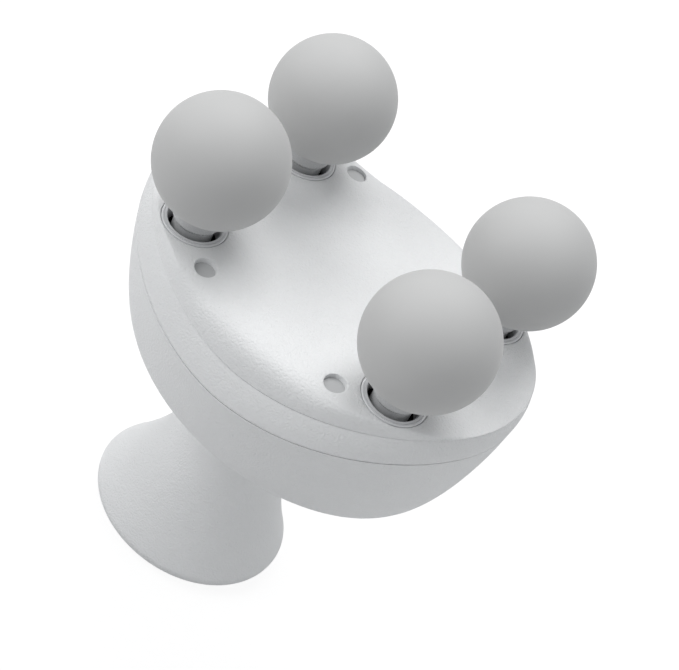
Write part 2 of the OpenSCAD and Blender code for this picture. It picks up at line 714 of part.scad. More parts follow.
front_cover();
middle_band();
back_shell();
screw_plugs();
cover_screws();
chassis_plate();
pivot_pin();
rocker_beam();
connecting_rod();
rod_pin();
drive_motor();
motor_clamp();
clamp_screws();
motor_shaft();
crank_disc();
control_board();
charging_socket();
handle_shell();
handle_screws();
end_cap();
cap_screws();
power_button();
switch_board();
battery_holder();
battery_cell();
collar_ring(ball_places[0]);  // collar_ring_1
collar_ring(ball_places[1]);  // collar_ring_2
collar_ring(ball_places[2]);  // collar_ring_3
collar_ring(ball_places[3]);  // collar_ring_4
guide_bush(ball_places[0]);  // guide_bush_1
guide_bush(ball_places[1]);  // guide_bush_2
guide_bush(ball_places[2]);  // guide_bush_3
guide_bush(ball_places[3]);  // guide_bush_4
stem(ball_places[0]);  // stem_1
stem(ball_places[1]);  // stem_2
stem(ball_places[2]);  // stem_3
stem(ball_places[3]);  // stem_4
link_pin(ball_places[0]);  // link_pin_1
link_pin(ball_places[1]);  // link_pin_2
link_pin(ball_places[2]);  // link_pin_3
link_pin(ball_places[3]);  // link_pin_4
ball_core(ball_places[0]);  // ball_core_1
ball_core(ball_places[1]);  // ball_core_2
ball_core(ball_places[2]);  // ball_core_3
ball_core(ball_places[3]);  // ball_core_4
massage_ball(ball_places[0]);  // massage_ball_1
massage_ball(ball_places[1]);  // massage_ball_2
massage_ball(ball_places[2]);  // massage_ball_3
massage_ball(ball_places[3]);  // massage_ball_4
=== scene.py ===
import math
import bmesh
import bpy
from mathutils import Matrix, Vector


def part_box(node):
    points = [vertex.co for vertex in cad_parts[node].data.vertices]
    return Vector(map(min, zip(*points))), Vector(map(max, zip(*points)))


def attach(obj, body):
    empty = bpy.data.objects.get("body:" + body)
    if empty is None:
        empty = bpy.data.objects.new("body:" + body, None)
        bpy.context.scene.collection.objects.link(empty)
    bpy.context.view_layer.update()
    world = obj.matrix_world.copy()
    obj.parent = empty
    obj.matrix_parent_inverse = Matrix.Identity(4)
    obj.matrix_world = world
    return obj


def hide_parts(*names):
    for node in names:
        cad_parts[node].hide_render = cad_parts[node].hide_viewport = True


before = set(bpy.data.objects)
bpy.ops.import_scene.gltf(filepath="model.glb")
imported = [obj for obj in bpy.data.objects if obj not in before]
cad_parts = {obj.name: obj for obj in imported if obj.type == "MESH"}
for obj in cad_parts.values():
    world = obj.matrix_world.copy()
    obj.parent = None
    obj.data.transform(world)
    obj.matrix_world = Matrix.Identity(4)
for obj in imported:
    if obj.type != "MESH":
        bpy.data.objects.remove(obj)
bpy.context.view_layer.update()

# The camera of the photograph: a long lens from the front and above, rolled over so that
# the row of massage heads runs down the picture from left to right.
photo_width = 679
focal_pixels = 1627
film_width = 36
camera_place = Vector((0.10317, -0.31590, 0.41364))
camera_right = Vector((0.73270, 0.57656, 0.36157))
camera_up = Vector((-0.64653, 0.42381, 0.63434))
camera_data = bpy.data.cameras.new("camera")
camera_data.sensor_fit = "HORIZONTAL"
camera_data.sensor_width = film_width
camera_data.lens = focal_pixels / photo_width * film_width
camera = bpy.data.objects.new("camera", camera_data)
bpy.context.scene.collection.objects.link(camera)
turn = Matrix((camera_right, camera_up, camera_right.cross(camera_up))).transposed()
camera.matrix_world = Matrix.Translation(camera_place) @ turn.to_4x4()
bpy.context.scene.camera = camera
bpy.context.scene.view_settings.view_transform = "Standard"

# The room is a white paper floor under a white sky. To the camera both are plain white,
# and the floor keeps a faint shadow under the handle. The paper is clear from below and
# to rays of less than touch_length, so that light reaches the end cap standing on it.
mm = 0.001
sky_tint = (0.96, 0.98, 1, 1)
sky_strength = 0.46
paper_glow_strength = 0.86
paper_shadow_grey = (0.2, 0.2, 0.2, 1)
paper_bounce_grey = (0.7, 0.7, 0.7, 1)
touch_length = 4 * mm
floor_half = 4
floor_drop = 0.1 * mm
white = (1, 1, 1, 1)

world = bpy.data.worlds.new("studio")
bpy.context.scene.world = world
world.use_nodes = True
sky = world.node_tree.nodes
sky_links = world.node_tree.links
sky.clear()
sky_rays = sky.new("ShaderNodeLightPath")
sky_seen = sky.new("ShaderNodeBackground")
sky_seen.inputs["Color"].default_value = white
sky_seen.inputs["Strength"].default_value = 1
sky_light = sky.new("ShaderNodeBackground")
sky_light.inputs["Color"].default_value = sky_tint
sky_light.inputs["Strength"].default_value = sky_strength
sky_mix = sky.new("ShaderNodeMixShader")
sky_out = sky.new("ShaderNodeOutputWorld")
shown = sky_rays.outputs["Is Camera Ray"]
for mirrored in ("Is Glossy Ray", "Is Transmission Ray"):
    seen_or_mirrored = sky.new("ShaderNodeMath")
    seen_or_mirrored.operation = "MAXIMUM"
    sky_links.new(shown, seen_or_mirrored.inputs[0])
    sky_links.new(sky_rays.outputs[mirrored], seen_or_mirrored.inputs[1])
    shown = seen_or_mirrored.outputs[0]
sky_links.new(shown, sky_mix.inputs[0])
sky_links.new(sky_light.outputs[0], sky_mix.inputs[1])
sky_links.new(sky_seen.outputs[0], sky_mix.inputs[2])
sky_links.new(sky_mix.outputs[0], sky_out.inputs[0])

floor_material = bpy.data.materials.new("white_paper")
floor_material.use_nodes = True
paper = floor_material.node_tree.nodes
paper_links = floor_material.node_tree.links
paper.clear()
paper_rays = paper.new("ShaderNodeLightPath")
paper_side = paper.new("ShaderNodeNewGeometry")
paper_glow = paper.new("ShaderNodeEmission")
paper_glow.inputs["Color"].default_value = white
paper_glow.inputs["Strength"].default_value = paper_glow_strength
paper_shade = paper.new("ShaderNodeBsdfDiffuse")
paper_shade.inputs["Color"].default_value = paper_shadow_grey
paper_bounce = paper.new("ShaderNodeBsdfDiffuse")
paper_bounce.inputs["Color"].default_value = paper_bounce_grey
paper_clear = paper.new("ShaderNodeBsdfTransparent")
paper_seen = paper.new("ShaderNodeAddShader")
paper_mix = paper.new("ShaderNodeMixShader")
paper_touch = paper.new("ShaderNodeMath")
paper_touch.operation = "LESS_THAN"
paper_touch.inputs[1].default_value = touch_length
paper_open = paper.new("ShaderNodeMath")
paper_open.operation = "MAXIMUM"
paper_face = paper.new("ShaderNodeMixShader")
paper_out = paper.new("ShaderNodeOutputMaterial")
paper_links.new(paper_glow.outputs[0], paper_seen.inputs[0])
paper_links.new(paper_shade.outputs[0], paper_seen.inputs[1])
paper_links.new(paper_rays.outputs["Is Camera Ray"], paper_mix.inputs[0])
paper_links.new(paper_bounce.outputs[0], paper_mix.inputs[1])
paper_links.new(paper_seen.outputs[0], paper_mix.inputs[2])
paper_links.new(paper_rays.outputs["Ray Length"], paper_touch.inputs[0])
paper_links.new(paper_side.outputs["Backfacing"], paper_open.inputs[0])
paper_links.new(paper_touch.outputs[0], paper_open.inputs[1])
paper_links.new(paper_open.outputs[0], paper_face.inputs[0])
paper_links.new(paper_mix.outputs[0], paper_face.inputs[1])
paper_links.new(paper_clear.outputs[0], paper_face.inputs[2])
paper_links.new(paper_face.outputs[0], paper_out.inputs[0])
floor_mesh = bmesh.new()
bmesh.ops.create_grid(floor_mesh, x_segments=2, y_segments=2, size=floor_half)
floor_data = bpy.data.meshes.new("floor")
floor_mesh.to_mesh(floor_data)
floor_mesh.free()
floor = bpy.data.objects.new("floor", floor_data)
floor.location.z = -floor_drop
floor_data.materials.append(floor_material)
bpy.context.scene.collection.objects.link(floor)

# Three square studio lamps face the heads: the key from the front left, a wide one high
# behind the object, and a weak one that lifts the right side.
lamp_target = Vector((0, 0, 0.12))


def soft_box(name, place, width, power):
    """A lamp of a width in metres and a power in watts."""
    data = bpy.data.lights.new(name, "AREA")
    data.shape = "SQUARE"
    data.size = width
    data.energy = power
    lamp = bpy.data.objects.new(name, data)
    lamp.location = place
    aim = lamp_target - Vector(place)
    lamp.rotation_euler = aim.to_track_quat("-Z", "Y").to_euler()
    bpy.context.scene.collection.objects.link(lamp)


soft_box("key_lamp", (-0.63, -0.45, 0.73), width=0.6, power=3.9)
soft_box("overhead_lamp", (-0.2, 0.42, 1.05), width=0.7, power=6.0)
soft_box("side_lamp", (0.95, 0.1, 0.42), width=0.5, power=0.8)


# The front cover is one moulding of light grey plastic: a saddle that dishes between the
# two pairs of heads, with a flat boss round each head, a rolled shoulder and four screw
# recesses. The fine spark texture of its tool breaks the light into a speckle.
def finish(name, colour, patches, patch_size, grain_size, grain_depth, rough, metal=0.0,
           stretch=(1, 1, 1), **shader):
    """A moulded or machined surface: two close tones in soft patches, and a fine relief."""
    material = bpy.data.materials.new(name)
    material.use_nodes = True
    nodes = material.node_tree.nodes
    links = material.node_tree.links
    skin = nodes["Principled BSDF"]
    place = nodes.new("ShaderNodeTexCoord")
    spread = nodes.new("ShaderNodeMapping")
    spread.inputs["Scale"].default_value = stretch
    tone = nodes.new("ShaderNodeTexNoise")
    tone.inputs["Scale"].default_value = 1 / patch_size
    tone.inputs["Detail"].default_value = 3
    grain = nodes.new("ShaderNodeTexNoise")
    grain.inputs["Scale"].default_value = 1 / grain_size
    grain.inputs["Detail"].default_value = 2
    colours = nodes.new("ShaderNodeMix")
    colours.data_type = "RGBA"
    colours.inputs["A"].default_value = (*colour, 1)
    colours.inputs["B"].default_value = (*patches, 1)
    gloss = nodes.new("ShaderNodeMapRange")
    gloss.inputs["From Min"].default_value = 0.3
    gloss.inputs["From Max"].default_value = 0.7
    gloss.inputs["To Min"].default_value = rough[0]
    gloss.inputs["To Max"].default_value = rough[1]
    relief = nodes.new("ShaderNodeBump")
    relief.inputs["Strength"].default_value = 1
    relief.inputs["Distance"].default_value = grain_depth
    links.new(place.outputs["Object"], spread.inputs["Vector"])
    links.new(spread.outputs["Vector"], tone.inputs["Vector"])
    links.new(spread.outputs["Vector"], grain.inputs["Vector"])
    links.new(tone.outputs["Fac"], colours.inputs["Factor"])
    links.new(colours.outputs["Result"], skin.inputs["Base Color"])
    links.new(grain.outputs["Fac"], gloss.inputs["Value"])
    links.new(gloss.outputs["Result"], skin.inputs["Roughness"])
    links.new(grain.outputs["Fac"], relief.inputs["Height"])
    links.new(relief.outputs["Normal"], skin.inputs["Normal"])
    skin.inputs["Metallic"].default_value = metal
    for socket, value in shader.items():
        skin.inputs[socket.replace("_", " ")].default_value = value
    return material


shell_plastic = finish("shell_plastic", colour=(0.755, 0.76, 0.765), patches=(0.785, 0.79, 0.795),
    patch_size=20 * mm, grain_size=0.6 * mm, grain_depth=0.28 * mm, rough=(0.4, 0.56))

ring_segments = 256
cover_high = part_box("front_cover")[1]
cover_a = cover_high.x
cover_b = cover_high.y
collar_proud = 0.3 * mm
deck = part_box("collar_ring_1")[1].z - collar_proud
wall = 2.4 * mm
upper_drop = 10.6 * mm
seam_rise = 13 * mm
seam_power = 1.68
end_ease = 0.17
end_power = 6
seam_slope = 2.4 * mm
seam_edge = 0.15 * mm
seam_roll = 0.06 * mm
dish_depth = 3 * mm
dish_half = 25 * mm
shoulder_power = 14
rim_power = 140
boss_r = 9.8 * mm
boss_flare = 16 * mm
head_x = 35.7 * mm
head_y = 24.5 * mm
head_places = [(-head_x, -head_y), (-head_x, head_y), (head_x, -head_y), (head_x, head_y)]
screw_x = 22.9 * mm
screw_y = 34.3 * mm
recess_r = 3.05 * mm
recess_edge = 0.3 * mm
plug_bite = 0.3 * mm
collar_r = 9.3 * mm
collar_hole_r = 7.3 * mm
collar_flange = 1.2 * mm
collar_seat = deck - collar_flange
collar_mouth = 0.2 * mm
seat_r = collar_r + 0.15 * mm
shaft_hole_r = collar_hole_r + 1.2 * mm
shaft_hole_low = deck - 14 * mm
hole_segments = 96
edge_middle = 0.3
cutter_flare = 1.5


def seam(drop, t):
    """Height of a seam round the body, which climbs towards both ends."""
    climb = seam_rise * abs(math.cos(t)) ** seam_power
    return deck - drop + climb * (1 - end_ease * math.cos(t) ** end_power)


def upper_seam(t):
    """The seam between the front cover and the middle band."""
    return seam(upper_drop, t)


def shifted(height, by):
    """A height that goes round the body, moved up."""
    return lambda t: height(t) + by


def cover_height(s, t):
    """Height of the cover at share s of the way to its rim."""
    x = cover_a * s * math.cos(t)
    y = cover_b * s * math.sin(t)
    rim = upper_seam(t)
    fade = 1 - (s * math.sin(t)) ** 2
    dish = deck - dish_depth * math.exp(-((x / dish_half) ** 2)) * fade
    base = rim + (dish - rim) * math.sqrt(max(0, 1 - s ** shoulder_power))
    reach = (math.hypot(abs(x) - head_x, abs(y) - head_y) - boss_r) / boss_flare
    boss = 0.5 + 0.5 * math.cos(math.pi * min(1, max(0, reach)))
    return base + (deck - base) * boss * (1 - s ** rim_power)


def cover_height_at(x, y):
    """Height of the cover over a point of the plan."""
    s = math.hypot(x / cover_a, y / cover_b)
    return cover_height(min(1, s), math.atan2(y / cover_b, x / cover_a))


def loft(rings, segments=ring_segments, closed=False):
    """A skin drawn from a ring of edges through the outlines that follow, each a function
    of the angle. It closes on itself, or ends in a fan at both ends."""
    fan_samples = 8
    skin = bmesh.new()
    bmesh.ops.create_circle(skin, segments=segments, radius=1)
    edges = first_edges = list(skin.edges)
    for _ in rings[1:]:
        drawn = bmesh.ops.extrude_edge_only(skin, edges=edges)["geom"]
        points = [v for v in drawn if isinstance(v, bmesh.types.BMVert)]
        bmesh.ops.translate(skin, vec=(0, 0, 1), verts=points)
        edges = [e for e in drawn if isinstance(e, bmesh.types.BMEdge)]
    if closed:
        bmesh.ops.bridge_loops(skin, edges=first_edges + edges)
    else:
        for loop in (first_edges, edges):
            fan = bmesh.ops.contextual_create(skin, geom=loop)["faces"]
            bmesh.ops.poke(skin, faces=fan)
    for v in skin.verts:
        ring = rings[round(v.co.z)]
        in_fan = math.hypot(v.co.x, v.co.y) < 0.5
        if in_fan:
            points = [Vector(ring(math.tau * k / fan_samples)) for k in range(fan_samples)]
            v.co = sum(points, Vector()) / fan_samples
        else:
            v.co = ring(math.atan2(v.co.y, v.co.x))
    bmesh.ops.recalc_face_normals(skin, faces=skin.faces)
    if skin.calc_volume(signed=True) < 0:
        bmesh.ops.reverse_faces(skin, faces=skin.faces)
    return skin


def oval(a, b, height, x=0.0):
    """An oval outline whose height is a number or a function of the angle."""
    rise = height if callable(height) else lambda t: height
    return lambda t: (x + a * math.cos(t), b * math.sin(t), rise(t))


def cover_ring(s, inset=0.0, down=0.0):
    """Outline of the cover at share s of the way to its rim, or of its inner face."""
    return oval((cover_a - inset) * s, (cover_b - inset) * s, lambda t: cover_height(s, t) - down)


def piece(name, mesh, body, material, node, crease=35):
    """Puts a finished mesh in the scene for a CAD node, on the body that it rides on. It is
    smooth but for edges sharper than crease, in degrees."""
    data = bpy.data.meshes.new(name)
    mesh.to_mesh(data)
    mesh.free()
    data.shade_smooth()
    data.set_sharp_from_angle(angle=math.radians(crease))
    data.materials.append(material)
    made = bpy.data.objects.new(name, data)
    bpy.context.scene.collection.objects.link(made)
    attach(made, body)
    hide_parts(node)


def cut_away(mesh, cutters):
    """The mesh less its cutters, which are meshes too."""
    def temporary(part):
        data = bpy.data.meshes.new("part")
        part.to_mesh(data)
        part.free()
        made = bpy.data.objects.new("part", data)
        bpy.context.scene.collection.objects.link(made)
        return made

    work = temporary(mesh)
    tools = [temporary(c) for c in cutters]
    for tool in tools:
        cut = work.modifiers.new("cut", "BOOLEAN")
        cut.operation = "DIFFERENCE"
        cut.solver = "MANIFOLD"
        cut.object = tool
    depsgraph = bpy.context.evaluated_depsgraph_get()
    result = bmesh.new()
    result.from_mesh(work.evaluated_get(depsgraph).data)
    for made in [work, *tools]:
        bpy.data.objects.remove(made)
    return result


def hole_cutter(x, y, steps, edge):
    """A round cutter that goes up by steps of radius and height. Its mouth flares where it
    leaves the cover, to round the edge."""
    def step(radius, height):
        return lambda t: (x + radius * math.cos(t), y + radius * math.sin(t), height)

    def mouth(radius, drop):
        def point(t):
            px = x + radius * math.cos(t)
            py = y + radius * math.sin(t)
            return (px, py, cover_height_at(px, py) - drop)
        return point

    radius = steps[-1][0]
    flare = [mouth(radius, edge), mouth(radius + edge_middle * edge, edge_middle * edge),
        mouth(radius + edge, 0), mouth(radius + cutter_flare * edge, -edge)]
    return loft([step(*each) for each in steps] + flare, hole_segments)


cover_rings = 70
cover_steps = [1 - (1 - k / cover_rings) ** 2 for k in range(2, cover_rings)]
cover_inner_steps = [0.985, 0.95, 0.9, 0.84, 0.76, 0.66, 0.54, 0.4, 0.25, 0.1]
cover_mesh = loft(
    [cover_ring(s) for s in cover_steps]
    + [oval(cover_a, cover_b, shifted(upper_seam, seam_edge)),
       oval(cover_a - seam_edge, cover_b - seam_edge, shifted(upper_seam, seam_roll)),
       oval(cover_a - wall, cover_b - wall, shifted(upper_seam, seam_roll - seam_slope))]
    + [cover_ring(s, wall, wall) for s in cover_inner_steps])
collar_steps = [(shaft_hole_r, shaft_hole_low), (shaft_hole_r, collar_seat), (seat_r, collar_seat)]
cover_cutters = [hole_cutter(x, y, collar_steps, collar_mouth) for x, y in head_places]
plug_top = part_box("screw_plugs")[1].z
for x in (-screw_x, screw_x):
    for y in (-screw_y, screw_y):
        cover_cutters.append(hole_cutter(x, y, [(recess_r, plug_top - plug_bite)], recess_edge))
piece("front_cover_shell", cut_away(cover_mesh, cover_cutters), "housing",
    shell_plastic, "front_cover")

# The middle band is a narrow oval ring between the front cover and the back shell, of the
# same plastic. Its edges are broken, so that each seam shows as a fine line.
shell_low, shell_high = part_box("back_shell")
low_a = shell_high.x
low_b = shell_high.y
lower_drop = 19.2 * mm
band_bulge = 0.46 * mm
groove = 0.07 * mm


def lower_seam(t):
    """The seam between the middle band and the back shell."""
    return seam(lower_drop, t)


def between(low, high, share):
    """A height at a share of the way between two heights that go round the body."""
    return lambda t: low(t) + (high(t) - low(t)) * share


def band_ring(s):
    """Outline of the band's crowned face at share s of the way up it."""
    crown = band_bulge * math.sin(math.pi * s)
    return oval(low_a + (cover_a - low_a) * s + crown, low_b + (cover_b - low_b) * s + crown,
        between(lower_seam, upper_seam, s))


band_steps = [0.04, 0.12, 0.25, 0.4, 0.55, 0.7, 0.84, 0.95]
band_mesh = loft(
    [oval(low_a - wall, low_b - wall, shifted(lower_seam, groove - seam_slope)),
     oval(low_a - seam_edge, low_b - seam_edge, shifted(lower_seam, groove))]
    + [band_ring(s) for s in band_steps]
    + [oval(cover_a - seam_edge, cover_b - seam_edge, shifted(upper_seam, -groove)),
       oval(cover_a - wall, cover_b - wall, shifted(upper_seam, -groove - seam_slope))],
    closed=True)
piece("middle_band_ring", band_mesh, "housing", shell_plastic, "middle_band")

# The back shell is a deep bowl of the same plastic, which carries the drive. Its floor is
# flat where the handle is screwed on, and the charging socket looks out of its far side.
bowl_z = shell_low.z
long_power, long_corner = 1.36, 8
short_power, short_corner = 0.85, 5.8
handle_low, handle_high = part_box("handle_shell")
rim_x = (handle_low.x + handle_high.x) / 2
rim_a = (handle_high.x - handle_low.x) / 2
rim_b = handle_high.y
neck_x = 0.45 * rim_x
neck_a = 16.25 * mm
neck_b = 15.25 * mm
neck_seat = 5 * mm
wire_hole_r = 8 * mm
socket_low, socket_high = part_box("charging_socket")
socket_z = (socket_low.z + socket_high.z) / 2
socket_hole_r = 4.25 * mm
socket_hole_depth = 24 * mm
bowl_rings = 60
bowl_inner_rings = 10


def bowl_ring(w, inset=0.0, up=0.0, down=0.0):
    """Outline of the bowl at share w of its depth, or of its inner face."""
    a = (low_a - inset) * (1 - w ** long_power) ** (1 / long_corner)
    b = (low_b - inset) * (1 - w ** short_power) ** (1 / short_corner)
    return oval(a, b, between(shifted(lower_seam, -down), lambda t: bowl_z + up, w))


def cross_bore(radius, depth, place, segments):
    """A round cutter that lies from front to back."""
    bore = bmesh.new()
    bmesh.ops.create_cone(bore, cap_ends=True, segments=segments, radius1=radius, radius2=radius,
        depth=depth)
    lay_down = Matrix.Rotation(math.pi / 2, 3, "X")
    bmesh.ops.rotate(bore, cent=(0, 0, 0), matrix=lay_down, verts=bore.verts)
    bmesh.ops.translate(bore, vec=place, verts=bore.verts)
    return bore


bowl_steps = [math.sin(math.pi / 2 * k / bowl_rings) for k in range(5, bowl_rings)]
bowl_inner_steps = [math.sin(math.pi / 2 * k / bowl_inner_rings)
    for k in reversed(range(bowl_inner_rings))]
bowl_mesh = loft(
    [oval(low_a - seam_edge, low_b - seam_edge, shifted(lower_seam, -groove)),
     oval(low_a, low_b, shifted(lower_seam, -groove - seam_edge))]
    + [bowl_ring(w) for w in bowl_steps]
    + [oval(neck_a + neck_seat, neck_b + neck_seat, bowl_z, neck_x),
       oval(wire_hole_r, wire_hole_r, bowl_z, neck_x),
       oval(wire_hole_r, wire_hole_r, bowl_z + wall, neck_x)]
    + [bowl_ring(w, wall, wall, seam_slope + groove) for w in bowl_inner_steps],
    closed=True)
socket_place = (0, socket_high.y, socket_z)
socket_hole = cross_bore(socket_hole_r, socket_hole_depth, socket_place, segments=64)
piece("back_shell_bowl", cut_away(bowl_mesh, [socket_hole]), "housing",
    shell_plastic, "back_shell")

# The handle is a hollow knob of the same plastic, which flares from a round neck to a wide
# oval end with a rolled rim. It fills the palm, and the battery stands inside it.
handle_rim_z = 5.4 * mm
rim_edge = 5 * mm
rim_foot = 0.5 * mm
neck_fillet = 3 * mm
fillet_share = 0.16
flare_power = 2.1
inner_lift = 1.5 * mm
cap_top = 3.2 * mm
cap_share = 0.8
cap_gap = 0.15 * mm
opening_a = rim_a * cap_share + cap_gap
opening_b = rim_b * cap_share + cap_gap
opening_edge = 0.3 * mm
ledge_share = 0.72
handle_rings = 60
rim_rings = 12


def handle_ring(h, inset=0.0, up=0.0):
    """Outline of the handle at share h of the way from the back shell to its rim, or of its
    inner face."""
    fillet = neck_fillet * (1 - h / fillet_share) ** 2 if h < fillet_share else 0
    grow = h ** flare_power
    a = neck_a + fillet + (rim_a - neck_a) * grow - inset
    b = neck_b + fillet + (rim_b - neck_b) * grow - inset
    top = bowl_z - wall if inset else bowl_z
    z = min(bowl_z - (bowl_z - handle_rim_z) * h + up, top)
    return oval(a, b, z, neck_x + (rim_x - neck_x) * h)


def rim_ring(turn_share):
    """Outline of the rolled rim at a share of its quarter turn."""
    angle = math.pi / 2 * turn_share
    draw = rim_edge * (1 - math.cos(angle))
    z = rim_foot + (handle_rim_z - rim_foot) * (1 - math.sin(angle))
    return oval(rim_a - draw, rim_b - draw, z, rim_x)


handle_inner_steps = [0.9, 0.75, 0.6, 0.45, 0.3, 0.15, 0]
handle_mesh = loft(
    [handle_ring(k / handle_rings) for k in range(handle_rings + 1)]
    + [rim_ring(k / rim_rings) for k in range(1, rim_rings)]
    + [oval(opening_a + opening_edge, opening_b + opening_edge, rim_foot, rim_x),
       oval(opening_a, opening_b, rim_foot + opening_edge, rim_x),
       oval(opening_a, opening_b, cap_top, rim_x),
       oval(rim_a * ledge_share, rim_b * ledge_share, cap_top, rim_x)]
    + [handle_ring(h, wall, inner_lift) for h in handle_inner_steps]
    + [oval(wire_hole_r, wire_hole_r, bowl_z - wall, neck_x),
       oval(wire_hole_r, wire_hole_r, bowl_z, neck_x)],
    closed=True)
piece("handle_knob", handle_mesh, "housing", shell_plastic, "handle_shell")

# The end cap closes the handle and is what the massager stands on. It has a hole for the
# power button, and two posts that the parts above it are screwed to.
cap_edge = 0.4 * mm
button_hole_r = 8.7 * mm
post_r = 3 * mm
post_x = 15 * mm
post_low = cap_top - 0.2 * mm
post_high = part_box("end_cap")[1].z


def round_at(r, z):
    """A round outline on the handle's axis."""
    return oval(r, r, z, rim_x)


def cap_ring(inset, z):
    """The outline of the cap."""
    return oval(rim_a * cap_share - inset, rim_b * cap_share - inset, z, rim_x)


cap_mesh = loft(
    [round_at(button_hole_r, cap_top), round_at(button_hole_r, cap_edge),
     round_at(button_hole_r + edge_middle * cap_edge, edge_middle * cap_edge),
     round_at(button_hole_r + cap_edge, 0),
     cap_ring(cap_edge, 0), cap_ring(edge_middle * cap_edge, edge_middle * cap_edge),
     cap_ring(0, cap_edge), cap_ring(0, cap_top)],
    closed=True)
for x in (rim_x - post_x, rim_x + post_x):
    post = bmesh.ops.create_cone(cap_mesh, cap_ends=True, segments=48, radius1=post_r,
        radius2=post_r, depth=post_high - post_low)["verts"]
    bmesh.ops.translate(cap_mesh, vec=(x, 0, (post_high + post_low) / 2), verts=post)
piece("end_cap_plate", cap_mesh, "housing", shell_plastic, "end_cap")

# The power button is a round key of smooth grey plastic in the end cap, with a shallow dish
# for the thumb and a flange that holds it in.
button_plastic = finish("button_plastic", colour=(0.5, 0.505, 0.515), patches=(0.53, 0.535, 0.545),
    patch_size=15 * mm, grain_size=0.4 * mm, grain_depth=0.012 * mm, rough=(0.28, 0.4))
button_r = 8.5 * mm
button_round = 0.5 * mm
button_face = 0.8 * mm
button_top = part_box("power_button")[1].z
thumb_dish = [(0, 0.6 * mm), (3 * mm, 0.5 * mm), (6 * mm, 0.2 * mm)]
flange_r = button_r + 1.6 * mm
flange_z = cap_top + 0.05 * mm


def lathe(profile, place, steps=96):
    """A turned piece: a profile of radius and height, spun round its own upright axis."""
    turned = bmesh.new()
    points = [turned.verts.new((r, 0, z)) for r, z in profile]
    edges = [turned.edges.new(pair) for pair in zip(points, points[1:])]
    bmesh.ops.spin(turned, geom=points + edges, cent=(0, 0, 0), axis=(0, 0, 1),
        angle=math.tau, steps=steps, use_merge=True)
    bmesh.ops.remove_doubles(turned, verts=turned.verts, dist=0.0005 * mm)
    bmesh.ops.recalc_face_normals(turned, faces=turned.faces)
    bmesh.ops.translate(turned, vec=place, verts=turned.verts)
    return turned


def arc(centre, radius, start, end, steps):
    """Points of a round stretch of a profile, from one angle in degrees to another."""
    angles = [math.radians(start + (end - start) * k / steps) for k in range(steps + 1)]
    return [(centre[0] + radius * math.cos(a), centre[1] + radius * math.sin(a)) for a in angles]


button_profile = (
    [(r, button_face + depth) for r, depth in thumb_dish]
    + arc((button_r - button_round, button_face + button_round), button_round, -90, 0, steps=6)
    + [(button_r, flange_z), (flange_r, flange_z), (flange_r, button_top), (0, button_top)])
piece("power_button_key", lathe(button_profile, (rim_x, 0, 0)), "button",
    button_plastic, "power_button", crease=50)

# Each head comes out through a collar ring, a bright satin bezel pressed into the cover.
# Its face steps down in fine bands to the hole, which is chamfered on the inside.
collar_satin = finish("collar_satin", colour=(0.66, 0.665, 0.68), patches=(0.7, 0.705, 0.715),
    patch_size=8 * mm, grain_size=0.3 * mm, grain_depth=0.004 * mm, rough=(0.16, 0.24),
    Coat_Weight=0.5, Coat_Roughness=0.1)
collar_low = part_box("collar_ring_1")[0].z
sleeve_r = collar_hole_r + 1.1 * mm
collar_round = 0.3 * mm
collar_round_z = deck - 0.1 * mm
# Steps in from the collar's outer edge and out from its hole, each with a height over the
# boss, in millimetres.
groove_steps = [(0.62, 0.2), (0.66, 0.02), (0.8, 0.02), (0.84, 0.26)]
mouth_steps = [(0.62, 0.3), (0.5, 0.26), (0.12, -0.5), (0, -0.75)]
collar_profile = (
    [(collar_hole_r, collar_low), (sleeve_r, collar_low), (sleeve_r, collar_seat),
     (collar_r, collar_seat), (collar_r, collar_round_z)]
    + arc((collar_r - collar_round, collar_round_z), collar_round, 0, 90, steps=6)
    + [(collar_r - inset * mm, deck + height * mm) for inset, height in groove_steps]
    + [(collar_hole_r + out * mm, deck + height * mm) for out, height in mouth_steps]
    + [(collar_hole_r, collar_low)])
for number, (x, y) in enumerate(head_places, 1):
    collar_mesh = lathe(collar_profile, (x, y, 0), steps=128)
    piece(f"collar_bezel_{number}", collar_mesh, "housing", collar_satin,
        f"collar_ring_{number}", crease=28)

# A stem slides in its bush behind each collar. It is turned from grey acetal, with a rim
# that the ball sits on, a stud inside the ball and a fork for the rocker at its foot.
stem_plastic = finish("stem_plastic", colour=(0.5, 0.505, 0.51), patches=(0.54, 0.545, 0.55),
    patch_size=9 * mm, grain_size=0.25 * mm, grain_depth=0.004 * mm, rough=(0.22, 0.32))
stem_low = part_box("stem_1")[0].z
stem_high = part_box("stem_1")[1].z
stem_r = 5.8 * mm
stem_shoulder_z = deck + 0.6 * mm
stem_rim_r = 6.9 * mm
stem_rim_z = deck + 2.2 * mm
lower_round = 0.35 * mm
upper_round = 0.4 * mm
stud_r = 4 * mm
seat = deck + 5.4 * mm
foot_r = stem_r - 2 * mm
foot_taper = 3 * mm
fork_length = 20 * mm
fork_gap = 4.8 * mm
fork_low = stem_low - 2 * mm
fork_top = stem_low + 11 * mm
pin_z = stem_low + 5.5 * mm
pin_bore_r = 1.52 * mm
pin_bore_depth = 20 * mm
stem_profile = (
    [(0, stem_low), (foot_r, stem_low), (stem_r, stem_low + foot_taper), (stem_r, stem_shoulder_z)]
    + arc((stem_rim_r - lower_round, stem_rim_z), lower_round, -60, 0, steps=4)
    + arc((stem_rim_r - upper_round, seat - upper_round), upper_round, 0, 90, steps=6)
    + [(stud_r, seat), (stud_r, stem_high), (0, stem_high)])
